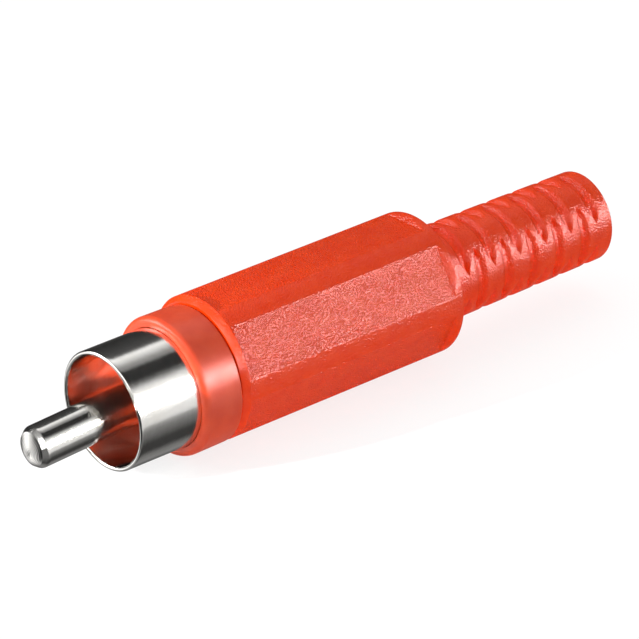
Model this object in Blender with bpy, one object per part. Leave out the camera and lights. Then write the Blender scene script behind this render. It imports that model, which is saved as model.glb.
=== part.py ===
"""A solder-type phono plug with an integral kink-protection boot, lying on one of its grip flats.

The plug points along -X. Four pieces are fixed to each other: the centre pin, the outer contact,
the moulded carrier that holds them and the ground lug with its cable clamp. The fifth is the
sleeve, grip and boot in one moulding, which unscrews from the carrier's neck and pulls off along
+X. Stations along the plug are measured from the outer contact's front rim.
"""
import math

import bmesh
import bpy
from mathutils import Matrix, Vector

MM = 0.001

# Clearances
PRESS_GAP = 0.05 * MM        # between pieces that are pressed or moulded together
LUG_GAP = 0.1 * MM           # round the ground lug, in its window and in the neck's pocket
SEAM = 0.08 * MM             # between the carrier's collar and the sleeve's front face
THREAD_PLAY = 0.15 * MM      # left over between the neck's crests and the sleeve's bore
OVERCUT = 0.6 * MM           # how far a cutter stands past the face it cuts

# Centre pin
PIN_R = 1.59 * MM
PIN_REACH = 6.74 * MM        # tip ahead of the outer contact's rim
PIN_EDGE = 0.4 * MM          # chamfer at the end of the cylinder, along the pin
PIN_EDGE_STEP = 0.32 * MM    # and across it
PIN_DOME = 0.3 * MM          # height of the dome in front of the chamfer
PIN_DIMPLE_R = 0.45 * MM
PIN_DIMPLE = 0.07 * MM
PIN_LEAN_DEG = 2.5           # the pin leans this far off the axis, from the disc forwards
PIN_LEAN_TOWARDS_DEG = 240.0 # direction of the lean about X, from +Y towards +Z
PIN_SHOULDER = 0.39 * MM     # step down to the shank, which the disc stops
STAKE_RIM = 0.35 * MM        # swaged ring that holds the pin behind the web
STAKE_LENGTH = 0.4 * MM
SOLDER_CUP_LENGTH = 5.0 * MM
SOLDER_CUP_WALL = 0.35 * MM
SOLDER_CUP_FLOOR = 1.4 * MM  # solid shank ahead of the cup
SOLDER_CUP_CLOSED = 0.8 * MM # length of the cup that stays a whole tube
SOLDER_CUP_SIDE = 0.15 * MM  # height of the cup's sides above its axis behind that

# Outer contact
RING_R = 4.55 * MM
RING_WALL = 0.35 * MM
RING_SHOWN = 5.38 * MM       # rim to collar

# Contact carrier
SPIGOT = 0.83 * MM           # how far the insulating disc stands into the outer contact
WEB = 3.1 * MM               # thickness of the moulding that holds the pin
PIN_SEAT = 0.1 * MM          # depth of the counterbore that the pin's shoulder sits in
PIN_SEAT_PLAY = 0.4 * MM     # and its clearance round the pin
COLLAR_WALL = 0.71 * MM      # round the outer contact
COLLAR_DRAFT = 0.04 * MM
COLLAR_LENGTH = 3.26 * MM
COLLAR_ROUND = 0.5 * MM
COLLAR_LIP = 0.12 * MM       # bevel at the mouth of the outer contact's seat
COLLAR_FLOOR = 0.91 * MM     # from the outer contact's rear edge to the collar's rear face
NECK_LENGTH = 5.56 * MM
NECK_WALL = 0.65 * MM
NECK_LEAD = 0.4 * MM         # chamfer that the sleeve starts on
RELIEF_LENGTH = 0.8 * MM     # thread relief behind the collar
RELIEF_DEPTH = 0.3 * MM

# Ground lug, a folded strip
LUG_THICK = 0.35 * MM
LUG_WIDTH = 3.0 * MM
LUG_FOLD_R = 0.4 * MM        # fold radius at the middle of the sheet
LUG_HOLE_R = 0.65 * MM
LUG_HOLE_BACK = 2.6 * MM     # wire hole behind the neck's rear face
CLAMP_LENGTH = 4.0 * MM
CLAMP_FOLD_R = 0.6 * MM      # the ears fold up from the strip's edges
CLAMP_HEIGHT = 3.6 * MM
CLAMP_SPACE = 0.82 * MM      # from the clamp to the cone at the rear of the sleeve's cavity

# Sleeve
SLEEVE_RISE = 0.3 * MM       # the sleeve's axis sits this much above the carrier's
GRIP_STEP = 0.21 * MM        # the grip's round rims stand out this far past the collar
GRIP_LENGTH = 20.88 * MM
FLAT_DEPTH = 0.415 * MM      # from the round rims down to the flats
FLAT_COUNT = 6
FLAT_FRONT = 0.7 * MM        # grip's front face to the full depth of a flat
FLAT_FRONT_RAMP = 0.2 * MM
FLAT_REAR = 0.85 * MM
FLAT_REAR_RAMP = 0.5 * MM
FRONT_CONE = 0.48 * MM
FRONT_CONE_STEP = 0.3 * MM
REAR_ROUND = 0.18 * MM
BORE_WALL = 0.97 * MM        # from the threaded bore to the round rims
BORE_RUNOUT = 0.82 * MM      # threaded bore behind the neck
GRIP_WALL = 1.0 * MM         # under the flats, behind the thread
GRIP_END = 2.58 * MM         # from the rear of the cavity to the grip's rear face
CAVITY_CONE = 1.9 * MM
BOOT_LENGTH = 16.8 * MM
BOOT_TAPER = 0.17 * MM
BOOT_WALL = 1.05 * MM        # at the boot's end
BOOT_END_ROUND = 0.2 * MM
CABLE_HOLE_R = 2.5 * MM
CABLE_HOLE_LEAD = 0.25 * MM
SLOT_WIDTH = 0.65 * MM       # at the slot's floor
SLOT_FLARE = 0.24 * MM       # widening of each side of a slot at the boot's surface
SLOT_DEPTH = 0.5 * MM        # the slots are blind
SLOT_LAND = 0.175 * MM       # surface left between the slots of one ring and of the next
FIRST_SLOT = 2.2 * MM        # from the grip's rear face
LAST_BAND = 1.2 * MM         # whole band at the boot's end
SLOTS_IN_RING = 3
BRIDGE_DEG = 30.0            # angle of wall left between the slots of a ring
FIRST_BRIDGE_DEG = 90.0      # middle of the first ring's first bridge, from +Z towards -Y

# Facets
ROUND_STEPS = 48
PIN_STEPS = 32
SLOT_STEPS = 12
ARC_STEPS = 4
MERGE = 0.0005 * MM

# Stations, from the outer contact's rim
COLLAR_FRONT = RING_SHOWN
COLLAR_REAR = COLLAR_FRONT + COLLAR_LENGTH
RING_REAR = COLLAR_REAR - COLLAR_FLOOR
DISC = RING_REAR - SPIGOT
WEB_REAR = DISC + WEB
NECK_REAR = COLLAR_REAR + NECK_LENGTH
GRIP_FRONT = COLLAR_REAR + SEAM
GRIP_REAR = GRIP_FRONT + GRIP_LENGTH
BORE_REAR = NECK_REAR + BORE_RUNOUT
CAVITY_REAR = GRIP_REAR - GRIP_END
LUG_END = CAVITY_REAR - CLAMP_SPACE
BOOT_END = GRIP_REAR + BOOT_LENGTH

# Radii, each from the one that it fits
SHANK_R = PIN_R - PIN_SHOULDER
RING_BORE_R = RING_R - RING_WALL
SEAT_R = RING_R + PRESS_GAP
SPIGOT_R = RING_BORE_R - PRESS_GAP
COLLAR_R = SEAT_R + COLLAR_WALL
GRIP_R = COLLAR_R + GRIP_STEP
FLAT_R = GRIP_R - FLAT_DEPTH
SLEEVE_BORE_R = GRIP_R - BORE_WALL
NECK_R = SLEEVE_BORE_R - SLEEVE_RISE - THREAD_PLAY
POCKET_R = NECK_R - NECK_WALL
CAVITY_R = FLAT_R - GRIP_WALL
BOOT_END_R = CABLE_HOLE_R + BOOT_WALL
BOOT_ROOT_R = BOOT_END_R + BOOT_TAPER
SLOT_PITCH = SLOT_WIDTH + 2 * SLOT_FLARE + SLOT_LAND

# Height of the lug's middle surface below the carrier's axis, where its edges clear the pocket
LUG_DROP = math.sqrt((POCKET_R - LUG_GAP) ** 2 - (LUG_WIDTH / 2) ** 2) - LUG_THICK / 2
LUG_FRONT = RING_REAR + PRESS_GAP + LUG_THICK / 2

# Heights above the surface that the plug lies on, and its middle along X
CARRIER_HEIGHT = COLLAR_R
SLEEVE_HEIGHT = CARRIER_HEIGHT + SLEEVE_RISE
MIDDLE = (BOOT_END - PIN_REACH) / 2

RED = (0.72, 0.045, 0.012, 1.0)
NICKEL = (0.78, 0.76, 0.73, 1.0)
TIN = (0.62, 0.62, 0.6, 1.0)


def material(name, colour, roughness, metallic):
    made = bpy.data.materials.new(name)
    made.use_nodes = True
    shader = made.node_tree.nodes["Principled BSDF"]
    shader.inputs["Base Color"].default_value = colour
    shader.inputs["Roughness"].default_value = roughness
    shader.inputs["Metallic"].default_value = metallic
    made.diffuse_color = colour
    return made


def empty(name, location, parent=None):
    made = bpy.data.objects.new(name, None)
    bpy.context.collection.objects.link(made)
    made.location = location
    made.parent = parent
    return made


def add_object(name, bm, parent, look=None):
    """Makes an object from a bmesh. Without a look it is a cutter."""
    mesh = bpy.data.meshes.new(name)
    bm.to_mesh(mesh)
    bm.free()
    made = bpy.data.objects.new(name, mesh)
    bpy.context.collection.objects.link(made)
    made.parent = parent
    if look:
        mesh.materials.append(look)
        mesh.shade_smooth()
        mesh.set_sharp_from_angle(angle=math.radians(35))
    else:
        made.hide_render = True
        made.display_type = "WIRE"
    return made


def cut(piece, cutter):
    boolean = piece.modifiers.new(cutter.name, "BOOLEAN")
    boolean.operation = "DIFFERENCE"
    boolean.solver = "EXACT"
    boolean.object = cutter


def arc(centre, radius, start_deg, end_deg, steps=ARC_STEPS):
    """Points (station, radius) along an arc. Angle 0 points along +X, 90 away from the axis."""
    x, r = centre
    turns = [math.radians(start_deg + (end_deg - start_deg) * i / steps) for i in range(steps + 1)]
    return [(x + radius * math.cos(a), r + radius * math.sin(a)) for a in turns]


def spin_section(bm, section, closed, angle, steps):
    """Turns a section of (station, radius) points about X, starting at +Z."""
    verts = [bm.verts.new((x, 0.0, r)) for x, r in section]
    ends = verts[1:] + verts[:1] if closed else verts[1:]
    edges = [bm.edges.new(pair) for pair in zip(verts, ends)]
    whole = math.isclose(angle, math.tau)
    bmesh.ops.spin(bm, geom=verts + edges, cent=(0, 0, 0), axis=(1, 0, 0), angle=angle,
                   steps=steps, use_merge=whole)


def turned(section, steps=ROUND_STEPS, closed=True):
    """A turned piece. Its facets touch the true circles, and one row of them faces straight down."""
    bm = bmesh.new()
    spin_section(bm, section, closed, math.tau, steps)
    half_step = math.pi / steps
    outwards = 1 / math.cos(half_step)
    bmesh.ops.scale(bm, vec=(1.0, outwards, outwards), verts=bm.verts)
    bmesh.ops.rotate(bm, verts=bm.verts, cent=(0, 0, 0), matrix=Matrix.Rotation(half_step, 3, "X"))
    bmesh.ops.remove_doubles(bm, verts=bm.verts, dist=MERGE)
    bmesh.ops.recalc_face_normals(bm, faces=bm.faces)
    return bm


def add_box(bm, low, high):
    size = Vector(high) - Vector(low)
    middle = (Vector(high) + Vector(low)) / 2
    place = Matrix.Translation(middle) @ Matrix.Diagonal((*size, 1.0))
    bmesh.ops.create_cube(bm, size=1.0, matrix=place)


def centre_pin(parent, look):
    tip = -PIN_REACH
    nose_r = PIN_R - PIN_EDGE_STEP
    dome = [(tip + PIN_DIMPLE, 0.0), (tip + PIN_DIMPLE / 3, PIN_DIMPLE_R * 0.6), (tip, PIN_DIMPLE_R)]
    rise = PIN_DOME / (nose_r - PIN_DIMPLE_R) ** 2
    for i in range(1, ARC_STEPS + 1):
        out = (nose_r - PIN_DIMPLE_R) * i / ARC_STEPS
        dome.append((tip + rise * out * out, PIN_DIMPLE_R + out))
    edge = (tip + PIN_DOME + PIN_EDGE, PIN_R)
    shoulder = DISC + PIN_SEAT - PRESS_GAP
    stake = WEB_REAR + PRESS_GAP
    tail = WEB_REAR + SOLDER_CUP_LENGTH
    cup_r = SHANK_R - SOLDER_CUP_WALL
    floor = WEB_REAR + SOLDER_CUP_FLOOR
    section = dome + [
        edge, (shoulder, PIN_R), (shoulder, SHANK_R),
        (stake, SHANK_R), (stake, SHANK_R + STAKE_RIM), (stake + STAKE_LENGTH, SHANK_R),
        (tail, SHANK_R), (tail, cup_r), (floor, cup_r), (floor - cup_r / 2, 0.0),
    ]
    bm = turned(section, PIN_STEPS, closed=False)
    lean = math.tan(math.radians(PIN_LEAN_DEG))
    towards = math.radians(PIN_LEAN_TOWARDS_DEG)
    for vert in bm.verts:
        ahead = max(0.0, shoulder - vert.co.x)
        vert.co.y += lean * ahead * math.cos(towards)
        vert.co.z += lean * ahead * math.sin(towards)
    pin = add_object("centre_pin", bm, parent, look)
    opening = bmesh.new()
    add_box(opening, (floor + SOLDER_CUP_CLOSED, -SHANK_R - OVERCUT, SOLDER_CUP_SIDE),
            (tail + OVERCUT, SHANK_R + OVERCUT, SHANK_R + OVERCUT))
    cut(pin, add_object("cut_solder_cup", opening, parent))
    return pin


def outer_contact(parent, look):
    rim_round = RING_WALL / 2
    rim = arc((rim_round, RING_R - rim_round), rim_round, 90, 270, 2 * ARC_STEPS)
    section = rim + [(RING_REAR, RING_BORE_R), (RING_REAR, RING_R)]
    return add_object("outer_contact", turned(section), parent, look)


def contact_carrier(parent, look):
    collar_front = COLLAR_FRONT + COLLAR_ROUND
    rear_r = COLLAR_R - COLLAR_DRAFT
    relief_r = NECK_R - RELIEF_DEPTH
    relief_end = COLLAR_REAR + RELIEF_LENGTH
    seat_end = RING_REAR + PRESS_GAP
    pin_seat_r = PIN_R + PIN_SEAT_PLAY
    section = [(DISC + PIN_SEAT, SHANK_R + PRESS_GAP), (DISC + PIN_SEAT, pin_seat_r),
               (DISC, pin_seat_r), (DISC, SPIGOT_R), (seat_end, SPIGOT_R), (seat_end, SEAT_R),
               (COLLAR_FRONT + COLLAR_LIP, SEAT_R), (COLLAR_FRONT, SEAT_R + COLLAR_LIP)]
    section += arc((collar_front, COLLAR_R - COLLAR_ROUND), COLLAR_ROUND, 180, 90)
    section += [
        (COLLAR_REAR - COLLAR_LIP, rear_r), (COLLAR_REAR, rear_r - COLLAR_LIP),
        (COLLAR_REAR, relief_r), (relief_end, relief_r), (relief_end + RELIEF_DEPTH, NECK_R),
        (NECK_REAR - NECK_LEAD, NECK_R), (NECK_REAR, NECK_R - NECK_LEAD),
        (NECK_REAR, POCKET_R), (WEB_REAR, POCKET_R), (WEB_REAR, SHANK_R + PRESS_GAP),
    ]
    carrier = add_object("contact_carrier", turned(section), parent, look)
    half = LUG_WIDTH / 2 + LUG_GAP
    inner = -LUG_DROP + LUG_THICK / 2 + LUG_GAP
    window = bmesh.new()
    add_box(window, (LUG_FRONT - LUG_THICK / 2 - LUG_GAP, -half, -RING_R),
            (LUG_FRONT + LUG_THICK / 2 + LUG_GAP, half, inner))
    cut(carrier, add_object("cut_lug_foot", window, parent))
    channel = bmesh.new()
    add_box(channel, (LUG_FRONT, -half, -LUG_DROP - LUG_THICK / 2 - LUG_GAP),
            (WEB_REAR + OVERCUT, half, inner))
    cut(carrier, add_object("cut_lug_channel", channel, parent))
    return carrier


def ground_lug(parent, look):
    """The strip stands on the outer contact's rear edge, folds and runs back to a cable clamp."""
    clamp_front = LUG_END - CLAMP_LENGTH
    half = LUG_WIDTH / 2
    fold = arc((LUG_FRONT + LUG_FOLD_R, -LUG_DROP - LUG_FOLD_R), LUG_FOLD_R, 180, 90)
    path = [(LUG_FRONT, LUG_GAP - RING_R), *fold, (clamp_front, -LUG_DROP), (LUG_END, -LUG_DROP)]
    bm = bmesh.new()
    rows = [[bm.verts.new((x, y, z)) for y in (-half, half)] for x, z in path]
    for row, following in zip(rows, rows[1:]):
        bm.faces.new((row[0], following[0], following[1], row[1]))
    bend = arc((half, CLAMP_FOLD_R - LUG_DROP), CLAMP_FOLD_R, 270, 360)
    ear = bend[1:] + [(half + CLAMP_FOLD_R, CLAMP_HEIGHT - LUG_DROP)]
    for side in (0, 1):
        front, rear = rows[-2][side], rows[-1][side]
        for y, z in ear:
            y = y if side else -y
            corners = [bm.verts.new((x, y, z)) for x in (clamp_front, LUG_END)]
            bm.faces.new((front, rear, corners[1], corners[0]))
            front, rear = corners
    bmesh.ops.recalc_face_normals(bm, faces=bm.faces)
    lug = add_object("ground_lug", bm, parent, look)
    sheet = lug.modifiers.new("sheet", "SOLIDIFY")
    sheet.thickness = LUG_THICK
    sheet.offset = 0.0
    hole = bmesh.new()
    wire_hole = Matrix.Translation((NECK_REAR + LUG_HOLE_BACK, 0.0, -LUG_DROP))
    bmesh.ops.create_cone(hole, cap_ends=True, segments=PIN_STEPS, radius1=LUG_HOLE_R,
                          radius2=LUG_HOLE_R, depth=LUG_THICK + 2 * OVERCUT, matrix=wire_hole)
    cut(lug, add_object("cut_wire_hole", hole, parent))
    return lug


def flat_cutter(parent):
    """One block over each flat, with sloping ends that run the flat out to the round rims."""
    top = GRIP_R + OVERCUT
    front = GRIP_FRONT + FLAT_FRONT
    rear = GRIP_REAR - FLAT_REAR
    rise = (top - FLAT_R) / (GRIP_R - FLAT_R)
    outline = [(front - FLAT_FRONT_RAMP * rise, top), (front, FLAT_R), (rear, FLAT_R),
               (rear + FLAT_REAR_RAMP * rise, top)]
    half = math.sqrt(GRIP_R ** 2 - FLAT_R ** 2) + OVERCUT / 2
    bm = bmesh.new()
    for i in range(FLAT_COUNT):
        turn = Matrix.Rotation(math.tau * i / FLAT_COUNT, 4, "X")
        verts = [bm.verts.new(turn @ Vector((x, -half, r))) for x, r in outline]
        face = bm.faces.new(verts)
        grown = bmesh.ops.extrude_face_region(bm, geom=[face])["geom"]
        moved = [item for item in grown if isinstance(item, bmesh.types.BMVert)]
        bmesh.ops.translate(bm, verts=moved, vec=turn @ Vector((0.0, 2 * half, 0.0)))
    bmesh.ops.recalc_face_normals(bm, faces=bm.faces)
    return add_object("cut_flats", bm, parent)


def slot_cutter(parent):
    """Rings of blind slots whose floors run out at both ends, as along a chord of the boot.

    Each ring is turned half a slot from the last, so that the boot bends.
    """
    past = SLOT_LAND / 4
    half = SLOT_WIDTH / 2
    share = 360.0 / SLOTS_IN_RING
    reach = math.radians(share - BRIDGE_DEG) / 2
    span = BOOT_LENGTH - FIRST_SLOT - LAST_BAND
    rings = int(span / SLOT_PITCH + 0.001) + 1
    bm = bmesh.new()
    for ring in range(rings):
        x = FIRST_SLOT + ring * SLOT_PITCH
        surface = BOOT_ROOT_R + (BOOT_END_R - BOOT_ROOT_R) * x / BOOT_LENGTH
        x += GRIP_REAR
        mouth = half + SLOT_FLARE + past
        top = surface + past
        floor = surface - SLOT_DEPTH
        section = [(x - half, floor), (x - mouth, top), (x + mouth, top), (x + half, floor)]
        for slot in range(SLOTS_IN_RING):
            before = len(bm.verts)
            spin_section(bm, section, True, 2 * reach, SLOT_STEPS)
            bm.verts.ensure_lookup_table()
            for vert in bm.verts[before:]:
                off = math.atan2(-vert.co.y, vert.co.z) - reach
                if math.hypot(vert.co.y, vert.co.z) < surface:
                    chord = (surface + past / 2) * math.cos(reach) / math.cos(off)
                    vert.co.yz = vert.co.yz * max(1.0, chord / floor)
            start = share * (slot + 0.5 * (ring % 2)) + FIRST_BRIDGE_DEG + BRIDGE_DEG / 2
            turn = Matrix.Rotation(math.radians(start), 3, "X")
            bmesh.ops.rotate(bm, verts=bm.verts[before:], cent=(0, 0, 0), matrix=turn)
    bmesh.ops.holes_fill(bm, edges=[edge for edge in bm.edges if edge.is_boundary])
    bmesh.ops.recalc_face_normals(bm, faces=bm.faces)
    return add_object("cut_slots", bm, parent)


def sleeve(parent, look):
    cone_r = GRIP_R - FRONT_CONE_STEP
    lead = CABLE_HOLE_LEAD
    section = [(GRIP_FRONT, SLEEVE_BORE_R), (GRIP_FRONT, cone_r), (GRIP_FRONT + FRONT_CONE, GRIP_R)]
    section += arc((GRIP_REAR - REAR_ROUND, GRIP_R - REAR_ROUND), REAR_ROUND, 90, 0)
    section += [(GRIP_REAR, BOOT_ROOT_R)]
    section += arc((BOOT_END - BOOT_END_ROUND, BOOT_END_R - BOOT_END_ROUND), BOOT_END_ROUND, 90, 0)
    section += [
        (BOOT_END, CABLE_HOLE_R + lead), (BOOT_END - lead, CABLE_HOLE_R),
        (CAVITY_REAR + CAVITY_CONE, CABLE_HOLE_R), (CAVITY_REAR, CAVITY_R),
        (BORE_REAR, CAVITY_R), (BORE_REAR, SLEEVE_BORE_R),
    ]
    made = add_object("sleeve", turned(section), parent, look)
    cut(made, flat_cutter(parent))
    cut(made, slot_cutter(parent))
    return made


def main():
    for item in list(bpy.data.objects):
        bpy.data.objects.remove(item)
    nickel = material("nickel_plating", NICKEL, 0.15, 1.0)
    red = material("red_moulding", RED, 0.35, 0.0)
    tin = material("tinned_strip", TIN, 0.35, 1.0)
    red_sleeve = material("red_sleeve_moulding", RED, 0.42, 0.0)
    pin_plating = material("pin_plating", NICKEL, 0.15, 1.0)
    carrier_axis = empty("carrier_axis", (-MIDDLE, 0.0, CARRIER_HEIGHT))
    sleeve_axis = empty("sleeve_axis", (-MIDDLE, 0.0, SLEEVE_HEIGHT))
    centre_pin(carrier_axis, pin_plating)
    outer_contact(carrier_axis, nickel)
    contact_carrier(carrier_axis, red)
    ground_lug(carrier_axis, tin)
    sleeve(sleeve_axis, red_sleeve)


main()
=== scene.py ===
"""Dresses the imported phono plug: fine contacts, threaded mouldings, grained grip and studio light.

Every piece is turned or folded round the plug's own axis. Stations along the plug are measured in
metres from the outer contact's front rim, towards the cable end, and radii from the axis.
"""

import math

import bmesh
import bpy
from mathutils import Matrix, Vector


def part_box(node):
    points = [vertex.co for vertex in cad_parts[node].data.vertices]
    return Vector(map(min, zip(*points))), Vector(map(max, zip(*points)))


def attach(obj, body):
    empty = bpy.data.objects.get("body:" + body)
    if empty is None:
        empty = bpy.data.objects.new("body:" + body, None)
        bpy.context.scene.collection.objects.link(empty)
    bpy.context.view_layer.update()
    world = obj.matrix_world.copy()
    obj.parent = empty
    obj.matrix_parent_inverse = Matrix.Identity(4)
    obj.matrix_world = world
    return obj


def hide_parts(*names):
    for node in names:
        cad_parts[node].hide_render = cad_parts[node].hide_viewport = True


bl_info = {
    "name": "Phono plug dressing",
    "version": (1, 0, 0),
    "blender": (4, 5, 0),
    "location": "3D View > Sidebar > Phono plug",
    "description": "Builds the visible pieces of a phono plug round its packed solids",
    "category": "Object",
}

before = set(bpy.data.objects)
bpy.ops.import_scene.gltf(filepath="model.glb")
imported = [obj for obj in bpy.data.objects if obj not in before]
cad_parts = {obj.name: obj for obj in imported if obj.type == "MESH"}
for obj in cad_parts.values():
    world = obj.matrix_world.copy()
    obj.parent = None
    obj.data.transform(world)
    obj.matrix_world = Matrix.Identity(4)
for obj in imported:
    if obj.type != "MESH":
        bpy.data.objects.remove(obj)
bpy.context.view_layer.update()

MM = 0.001
MERGE = 0.0004 * MM
FULL_TURN = math.tau
SHARP_ANGLE = math.radians(24.0)

PIN_LOW, PIN_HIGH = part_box("centre_pin")
RING_LOW, RING_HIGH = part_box("outer_contact")
CARRIER_LOW, CARRIER_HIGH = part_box("contact_carrier")
SLEEVE_LOW, SLEEVE_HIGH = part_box("sleeve")

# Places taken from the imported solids
RIM_X = RING_LOW.x
CARRIER_AXIS = (RING_LOW.z + RING_HIGH.z) / 2
SLEEVE_AXIS = (SLEEVE_LOW.z + SLEEVE_HIGH.z) / 2
PIN_TIP = PIN_LOW.x - RIM_X
PIN_TAIL = PIN_HIGH.x - RIM_X
RING_REAR = RING_HIGH.x - RIM_X
COLLAR_FRONT = CARRIER_LOW.x - RIM_X
NECK_REAR = CARRIER_HIGH.x - RIM_X
LUG_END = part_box("ground_lug")[1].x - RIM_X
GRIP_FRONT = SLEEVE_LOW.x - RIM_X
BOOT_END = SLEEVE_HIGH.x - RIM_X

# Steps of a full turn, of an arc and of a rounded edge
METAL_STEPS = 128
CARRIER_STEPS = 96
SLEEVE_STEPS = 144
ARC_STEPS = 8
EDGE_STEPS = 6

# Rows of the pin: shares of the nose's bevel, the first behind it and the step of the others
BEVEL_ROWS = (0.08, 0.4)
SHANK_ROW = 0.2 * MM
PIN_ROW = 0.5 * MM

# Details of the pin's rear end
CUP_FLOOR = 1.4 * MM
CUP_CLOSED = 0.8 * MM
CUP_SIDE = 0.15 * MM
STAKE_LENGTH = 0.4 * MM
SOFT_EDGE = 0.05 * MM

# Room round the ground lug, how far its channel runs on behind the web, how far its wire hole lies
# behind the neck, and the round on the corners of its ears
LUG_ROOM = 0.1 * MM
CHANNEL_END = 0.6 * MM
WIRE_HOLE_BACK = 2.6 * MM
EAR_CORNER = 0.7 * MM

# Steps between the rows of a straight tube and of a flat, and the first row behind a round rim
ROW = 0.6 * MM
FLAT_ROW = 1.3 * MM
TUBE_START = 0.5 * MM

# How close to the crests a row is for the thread to cut it, and the fullness of the thread's form
THREAD_SKIN = 0.02 * MM
THREAD_FORM = 0.7

# Plain bore in front of and behind the sleeve's thread
THREAD_LEAD = 0.4 * MM
THREAD_END = 0.3 * MM

# Angles within which a row meets a flat's edge, and two corners share a flat
RIM_NEAR = math.radians(1)
SAME_FLAT = math.radians(8)

# Shares of a slot's half width: what is left at its very end, and how far its soft side reaches
SLOT_END = 0.2
SLOT_SIDE = 0.85

# Range that a noise mostly fills, and where its patches of colour begin
NOISE_RANGE = (0.3, 0.7)
PATCH_START = 0.35

# Share of the flats' grain that the rest of the sleeve has
SKIN_GRAIN = 0.35
RIM_GRAIN = 0.5
BOOT_GRAIN = 0.4

# Reach of the floor and of the light tent from their middles, and the tent's radius
TENT_REACH = 1.5
TENT_R = 0.5

# The lamp's place from the middle of the contact's rim, its radius and its cone
LAMP_PLACE = (-0.42, 0.12, 0.15)
LAMP_R = 7 * MM
LAMP_CONE = math.radians(2.2)

# The floor's glow and its share of the floor's shading, each towards the plug and in view
FLOOR_GLOW = (2.1, 1.02)
FLOOR_GLOW_SHARE = (0.35, 0.8)


def level(label, hint, value, **more):
    return bpy.props.FloatProperty(name=label, description=hint, default=value, **more)


def length(label, hint, millimetres):
    return level(label, hint, millimetres * MM, min=0.0, unit="LENGTH", precision=5)


def factor(label, hint, value):
    return level(label, hint, value, min=0.0, max=1.0, subtype="FACTOR")


def angle(label, hint, degrees):
    return level(label, hint, math.radians(degrees), subtype="ANGLE", unit="ROTATION")


def count(label, hint, number):
    return bpy.props.IntProperty(name=label, description=hint, default=number, min=1)


def colour(label, hint, value):
    return bpy.props.FloatVectorProperty(
        name=label, description=hint, default=value, min=0.0, max=1.0, size=3, subtype="COLOR"
    )


class PlugContactSizes(bpy.types.PropertyGroup):
    """Sizes of the two contacts and of the ground lug."""

    pin_r: length("Pin radius", "Radius of the centre pin", 1.59)
    pin_edge: length("Nose bevel length", "Length along the pin of the nose's bevel", 0.42)
    pin_edge_step: length("Nose bevel step", "Height of the nose's bevel", 0.3)
    pin_edge_soft: length("Nose edge round", "Width of the round behind the nose's bevel", 0.12)
    pin_dome: length("Nose dome", "Height of the dome on the pin's front", 0.18)
    dimple_r: length("Dimple radius", "Radius of the hollow in the pin's front", 0.4)
    dimple: length("Dimple depth", "Depth of the hollow in the pin's front", 0.05)
    mark_pitch: length("Turning mark pitch", "Distance between the nose's turning marks", 0.14)
    mark_depth: length("Turning mark depth", "Depth of the nose's turning marks", 0.009)
    mark_offset: length("Turning mark offset", "How low the marks' centre lies", 0.3)
    pin_lean: angle("Pin lean", "How far the pin leans off the plug's axis", 2.5)
    lean_towards: angle("Lean direction", "Where the pin leans, from +Y towards +Z", 240.0)
    shank_r: length("Shank radius", "Radius of the pin inside the disc", 1.2)
    stake_rim: length("Stake rim", "Width of the swaged ring behind the disc", 0.35)
    cup_wall: length("Solder cup wall", "Wall of the solder cup", 0.35)
    ring_r: length("Contact radius", "Outer radius of the outer contact", 4.55)
    ring_wall: length("Contact wall", "Wall of the outer contact", 0.35)
    lug_thick: length("Strip thickness", "Thickness of the ground lug's strip", 0.35)
    lug_width: length("Strip width", "Width of the ground lug's strip", 3.0)
    lug_drop: length("Strip drop", "Height of the strip's middle below the axis", 2.8162)
    lug_fold_r: length("Fold radius", "Radius of the fold at the strip's foot", 0.4)
    lug_hole_r: length("Wire hole radius", "Radius of the hole for the screen wire", 0.65)
    clamp_length: length("Clamp length", "Length of the cable clamp's ears", 4.0)
    clamp_fold_r: length("Clamp fold radius", "Radius of the fold at each ear", 0.6)
    clamp_height: length("Clamp height", "Height of the ears above the strip", 3.6)


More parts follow.
